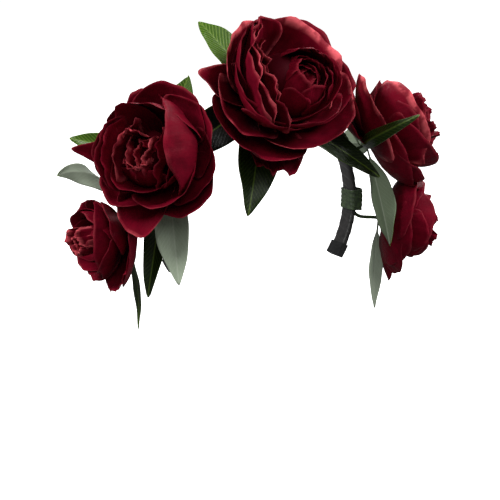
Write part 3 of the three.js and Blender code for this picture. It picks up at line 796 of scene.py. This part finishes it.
def leaf_frame(name, curl):
    """Where a leaf is hinged and how it lies, from its joint and its CAD blade's tip."""
    joint = next(j for j in frame["joints"] if j["name"] == name + "_bend")
    root = np.array(joint["pos_m"]) / MM
    x_axis = -unit(joint["axis"])
    points = node_points(name)
    chord = points[np.argmax(np.linalg.norm(points - root, axis=1))] - root
    chord = chord - x_axis * (chord @ x_axis)
    length = np.linalg.norm(chord) / np.sinc(curl / 2 / math.pi)
    heading, aside = unit(chord), np.cross(x_axis, unit(chord))
    y_axis = heading * math.cos(curl / 2) + aside * math.sin(curl / 2)
    return joint["child"], root, np.stack((x_axis, y_axis, np.cross(x_axis, y_axis))), length


def build_leaf(name, leaf, number):
    rng = np.random.default_rng(100 + number)
    curl = rad(leaf["curl"])
    body, root, axes, length = leaf_frame(name, curl)
    width, twist = leaf["width"], rad(leaf.get("twist", 0))
    rows, columns = 41, 17
    u = np.linspace(-1, 1, columns)[None, :]
    v = np.linspace(0, 1, rows)[:, None]
    half = leaf_half_width(v, width)
    half[-1] = 0.2
    blade = np.clip((v - 0.06) / 0.12, 0, 1)
    across = u * half
    long_wave = np.sin(9 * v + rng.uniform(0, 6) + 2 * np.sign(u))
    short_wave = 0.5 * np.sin(21 * v + rng.uniform(0, 6))
    ripple = 0.045 * width * blade * np.abs(u) ** 2 * (long_wave + short_wave)
    raised = np.abs(across) * math.tan(rad(LEAF_FOLD)) * blade + ripple
    side_veins = np.sin(1.5 * (v * length - 1.5 * np.abs(across)))
    raised = raised + 0.25 * blade * side_veins * (1 - np.abs(u))
    turned = twist * v ** 2
    side = across * np.cos(turned) - raised * np.sin(turned)
    up = across * np.sin(turned) + raised * np.cos(turned)
    angle = curl * v
    points = stack(side, length * np.sin(angle) / curl + up * np.sin(angle),
                   up * np.cos(angle) - length * (1 - np.cos(angle)) / curl)
    from_edge = np.minimum(half * (1 - np.abs(u)), length * (1 - v))
    rib = np.exp(-(across / LEAF_RIB_WIDTH) ** 2) * (1 - 0.7 * v)
    thick = LEAF_THICK + (LEAF_RIB_THICK - LEAF_THICK) * rib
    mesh = Mesh()
    add_sheet(mesh, points, thick, stack(across, v * length, leaf["tone"]),
              stack(u, v, np.clip(1 - from_edge / 0.9, 0, 1)), two_sided=True)
    finishes = [LEAF_UNDER, LEAF_TOP] if leaf.get("flip") else [LEAF_TOP, LEAF_UNDER]
    piece = placed(mesh, root, axes).build(name + "_cloth", finishes)
    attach(piece, body)
    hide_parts(name)


# ---------------------------------------------------------------- wires, tape and ribbon
def add_tube(mesh, path, radius, sides, pitch, step):
    """A wrapped round bar along a path of points, with a raised edge spiralling round it."""
    path = np.asarray(path, float)
    tangents = np.gradient(path, axis=0)
    tangents /= np.linalg.norm(tangents, axis=1, keepdims=True)
    lengths = np.concatenate([[0], np.cumsum(np.linalg.norm(np.diff(path, axis=0), axis=1))])
    first = np.cross(tangents[0], (0.3, 0.2, 0.9))
    points, flat = [], []
    for centre, tangent, along in zip(path, tangents, lengths):
        first = unit(first - tangent * (first @ tangent))
        second = np.cross(tangent, first)
        for i in range(sides):
            turn = 2 * math.pi * i / sides
            share = (along / pitch + i / sides) % 1.0
            r = radius + step * (share - 0.5)
            points.append(centre + r * (first * math.cos(turn) + second * math.sin(turn)))
            flat.append((along, r * turn, share))
    faces = grid_faces(len(path), sides, closed=True)
    faces.append(tuple(range(sides))[::-1])
    faces.append(tuple(range((len(path) - 1) * sides, len(path) * sides)))
    mesh.add(points, faces, flat, np.zeros((len(points), 3)))


def curve(a, b, c, d, count):
    """Points along the Bezier curve of four control points."""
    t = np.linspace(0, 1, count)[:, None]
    return (1 - t) ** 3 * a + 3 * (1 - t) ** 2 * t * b + 3 * (1 - t) * t ** 2 * c + t ** 3 * d


def line(a, b, count):
    return a + (b - a) * np.linspace(0, 1, count)[:, None]


def ring_angle(point):
    """Where round the band a point lies, in degrees from the top towards the wearer's left."""
    return math.degrees(math.atan2(point[0] - RING_CENTRE[0], point[2] - RING_CENTRE[2]))


def build_binding(name, peony):
    """The bloom's wire and the tape that binds it to the band."""
    origin, axes, radius = bloom_frame(name)
    aim = axes[2]
    tape_points = node_points(name + "_tape")
    tape_angle = ring_angle(tape_points.mean(0))
    bloom_angle = ring_angle(origin)
    along = 1 if bloom_angle > tape_angle else -1
    foot = on_ring(tape_angle, BAND_RADIUS + WIRE["height"])
    run = outward(tape_angle + 90 * along)
    half = rad(TAPE["half_angle"]) * BAND_RADIUS
    start, leave = foot + run * (1 - half), foot + run * (half + WIRE["leave"])
    neck = origin - aim * WIRE["neck"]
    turn_out = leave + run * WIRE["reach"] + outward(bloom_angle) * WIRE["rise"]
    bend = curve(leave, turn_out, neck - aim * WIRE["reach"], neck, 22)
    into_bloom = line(neck, origin + aim * WIRE["share"] * radius, 20)
    path = np.concatenate([line(start, leave, 14)[:-1], bend[:-1], into_bloom])
    mesh = Mesh()
    add_tube(mesh, path, WIRE["radius"], WIRE["sides"], WIRE["pitch"], WIRE["step"])
    piece = mesh.build(name + "_stem_wrapped", [STEM])
    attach(piece, peony["body"])
    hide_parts(name + "_stem")
    mesh = Mesh()
    add_sleeve(mesh, tape_angle - TAPE["half_angle"], tape_angle + TAPE["half_angle"], TAPE)
    piece = mesh.build(name + "_tape_wound", [TAPE_FINISH])
    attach(piece, peony["body"])
    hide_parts(name + "_tape")


def add_sleeve(mesh, start, end, size):
    """A sleeve wound round the band from one ring angle to another, its turns overlapping in small steps."""
    rows, half_width, low, high = size["rows"], size["half_width"], size["low"], size["high"]
    middle, half_high = (low + high) / 2, (high - low) / 2
    turn = np.linspace(0, 2 * math.pi, SLEEVE_SIDES, endpoint=False)
    square = SLEEVE_SQUARENESS
    shape = (np.abs(np.cos(turn)) ** square + np.abs(np.sin(turn)) ** square) ** (-1 / square)
    points, flat = [], []
    angles = np.linspace(start, end, rows)
    for shell in (1, 0):
        for angle in angles:
            along = rad(angle - start) * BAND_RADIUS
            for i, t in enumerate(turn):
                y = math.cos(t) * shape[i]
                h = math.sin(t) * shape[i]
                share = ((along + size["slant"] * half_width * y) / size["pitch"]) % 1.0
                inset = size["step"] * (1 - share) if shell else size["wall"] - SLEEVE_SHAVE
                width_here, high_here = half_width - inset, half_high - inset
                point = on_ring(angle, BAND_RADIUS + middle + high_here * h)
                point[1] = width_here * y
                points.append(point)
                flat.append((along, half_width * t, share))
    n = rows * len(turn)
    faces = grid_faces(rows, len(turn), closed=True)
    faces += grid_faces(rows, len(turn), n, flip=True, closed=True)
    last = (rows - 1) * len(turn)
    for i in range(len(turn)):
        j = (i + 1) % len(turn)
        faces.append((i, i + n, j + n, j))
        faces.append((last + j, last + j + n, last + i + n, last + i))
    mesh.add(points, faces, flat, np.zeros((len(points), 3)))


def build_ribbon():
    """The ribbon wound over the band, in two halves, one on each side of the band."""
    for side, sign in (("left", 1), ("right", -1)):
        mesh = Mesh()
        first, last = sorted((RIBBON["start"] * sign, RIBBON["tip"] * sign))
        add_sleeve(mesh, first, last, RIBBON)
        piece = mesh.build(f"ribbon_{side}_wound", [RIBBON_FINISH])
        start = on_ring(sign * (HINGE_ANGLE - HINGE_BLEND), BAND_RADIUS) * MM
        end = on_ring(sign * (HINGE_ANGLE + HINGE_BLEND), BAND_RADIUS) * MM
        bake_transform(piece)
        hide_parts("ribbon_middle", "ribbon_" + side)


def finish_hard_parts():
    """Gives the CAD nodes that stay, the steel band and the tip caps, their materials."""
    for names, material in ((("band_middle", "band_left", "band_right"), STEEL),
                            (("tip_cap_left", "tip_cap_right"), CAP)):
        for name in names:
            slots = frame["nodes"][name].data.materials
            slots.clear()
            slots.append(material)


# ---------------------------------------------------------------- stage
# Distances in metres, angles in degrees, lens and sensor in millimetres.
CAMERA = {
    "azimuth": -27.0, "elevation": 12.0, "distance": 1.2, "aim_right": -0.0056, "aim_up": -0.036,
    "lens": 108.0, "sensor": 36.0, "nearest": 0.01,
}
# Name, then how far to the camera's right, up and back, then size and power in watts.
LAMPS = (
    ("left_softbox", -1.2, 0.9, 0.7, 0.6, 30.0),
    ("right_softbox", 1.2, 1.0, 0.5, 0.6, 26.0),
    ("front_fill", 0.1, 0.6, 1.5, 0.8, 8.0),
    ("back", 0.2, 1.4, -1.0, 0.8, 14.0),
)
WORLD_FILL = 0.10


def build_floor():
    """A round pale floor just under the crown. It looks bright to the camera and throws little light back."""
    rows, columns, reach, gap = 12, 48, 14000.0, 2.0
    points = [(0.0, 0.0, 0.0)]
    for row in range(1, rows + 1):
        for c in range(columns):
            turn = 2 * math.pi * c / columns
            r = reach * (row / rows) ** 2
            points.append((r * math.cos(turn), r * math.sin(turn), 0.0))
    faces = [(0, 1 + c, 1 + (c + 1) % columns) for c in range(columns)]
    for row in range(rows - 1):
        for c in range(columns):
            a, b = 1 + row * columns + c, 1 + row * columns + (c + 1) % columns
            faces.append((a, a + columns, b + columns, b))
    data = bpy.data.meshes.new("floor")
    data.from_pydata([tuple(k * MM for k in p) for p in points], [], faces)
    floor = bpy.data.objects.new("floor", data)
    floor.location.z = cad_low.z - gap * MM
    bpy.context.scene.collection.objects.link(floor)
    s = Shader("studio_floor")
    grain = s.noise(s.node("TexCoord", output=3), 40.0, 3.0)
    pale = s.mix(s.steps(grain, 0.3, 0.7), colour(242, 241, 240), colour(246, 245, 245))
    seen = s.node("LightPath")
    data.materials.append(s.finish(Base_Color=s.mix(seen, (0.12, 0.12, 0.12), pale), Roughness=0.9,
                                   Emission_Color=(1.0, 1.0, 1.0, 1.0),
                                   Emission_Strength=s.math("MULTIPLY", seen, 0.95)))


def build_world():
    """A white surround: full brightness to the camera, a soft fill of WORLD_FILL to everything else."""
    world = bpy.data.worlds.new("studio")
    bpy.context.scene.world = world
    world.use_nodes = True
    tree = world.node_tree
    background = tree.nodes["Background"]
    seen = tree.nodes.new("ShaderNodeLightPath")
    amount = tree.nodes.new("ShaderNodeMapRange")
    tree.links.new(seen.outputs["Is Camera Ray"], amount.inputs["Value"])
    amount.inputs["To Min"].default_value = WORLD_FILL
    amount.inputs["To Max"].default_value = 1.0
    tree.links.new(amount.outputs["Result"], background.inputs["Strength"])
    background.inputs["Color"].default_value = (1.0, 1.0, 1.0, 1.0)


def turn_to(thing, location, away):
    """Puts a lamp or a camera at a place, facing against the vector away."""
    thing.location = location
    thing.rotation_mode = "QUATERNION"
    thing.rotation_quaternion = (-away).to_track_quat("-Z", "Y")


def build_lights_and_camera():
    """Four soft lamps placed about the camera's view of the crown, and the camera."""
    azimuth, elevation = rad(CAMERA["azimuth"]), rad(CAMERA["elevation"])
    right = Vector((math.cos(azimuth), math.sin(azimuth), 0.0))
    back = Vector((math.sin(azimuth) * math.cos(elevation), -math.cos(azimuth) * math.cos(elevation),
                   math.sin(elevation)))
    up = back.cross(right)
    aim = Vector(RING_CENTRE * MM) + right * CAMERA["aim_right"] + up * CAMERA["aim_up"]
    for name, to_right, to_up, to_back, size, power in LAMPS:
        light = bpy.data.lights.new(name, "AREA")
        light.size, light.energy = size, power
        made = bpy.data.objects.new(name, light)
        bpy.context.scene.collection.objects.link(made)
        offset = right * to_right + up * to_up + back * to_back
        turn_to(made, aim + offset, offset)
    camera_data = bpy.data.cameras.new("camera")
    camera_data.lens = CAMERA["lens"]
    camera_data.sensor_width = CAMERA["sensor"]
    camera_data.clip_start = CAMERA["nearest"]
    camera = bpy.data.objects.new("camera", camera_data)
    bpy.context.scene.collection.objects.link(camera)
    turn_to(camera, aim + back * CAMERA["distance"], back)
    bpy.context.scene.camera = camera
    bpy.context.scene.view_settings.view_transform = "Standard"


for peony_name, peony in PEONIES.items():
    build_bloom(peony_name, peony)
    build_binding(peony_name, peony)
for number, (leaf_name, leaf) in enumerate(LEAVES.items()):
    build_leaf(leaf_name, leaf, number)
build_ribbon()
finish_hard_parts()
build_floor()
build_world()
build_lights_and_camera()

bpy.context.view_layer.update()
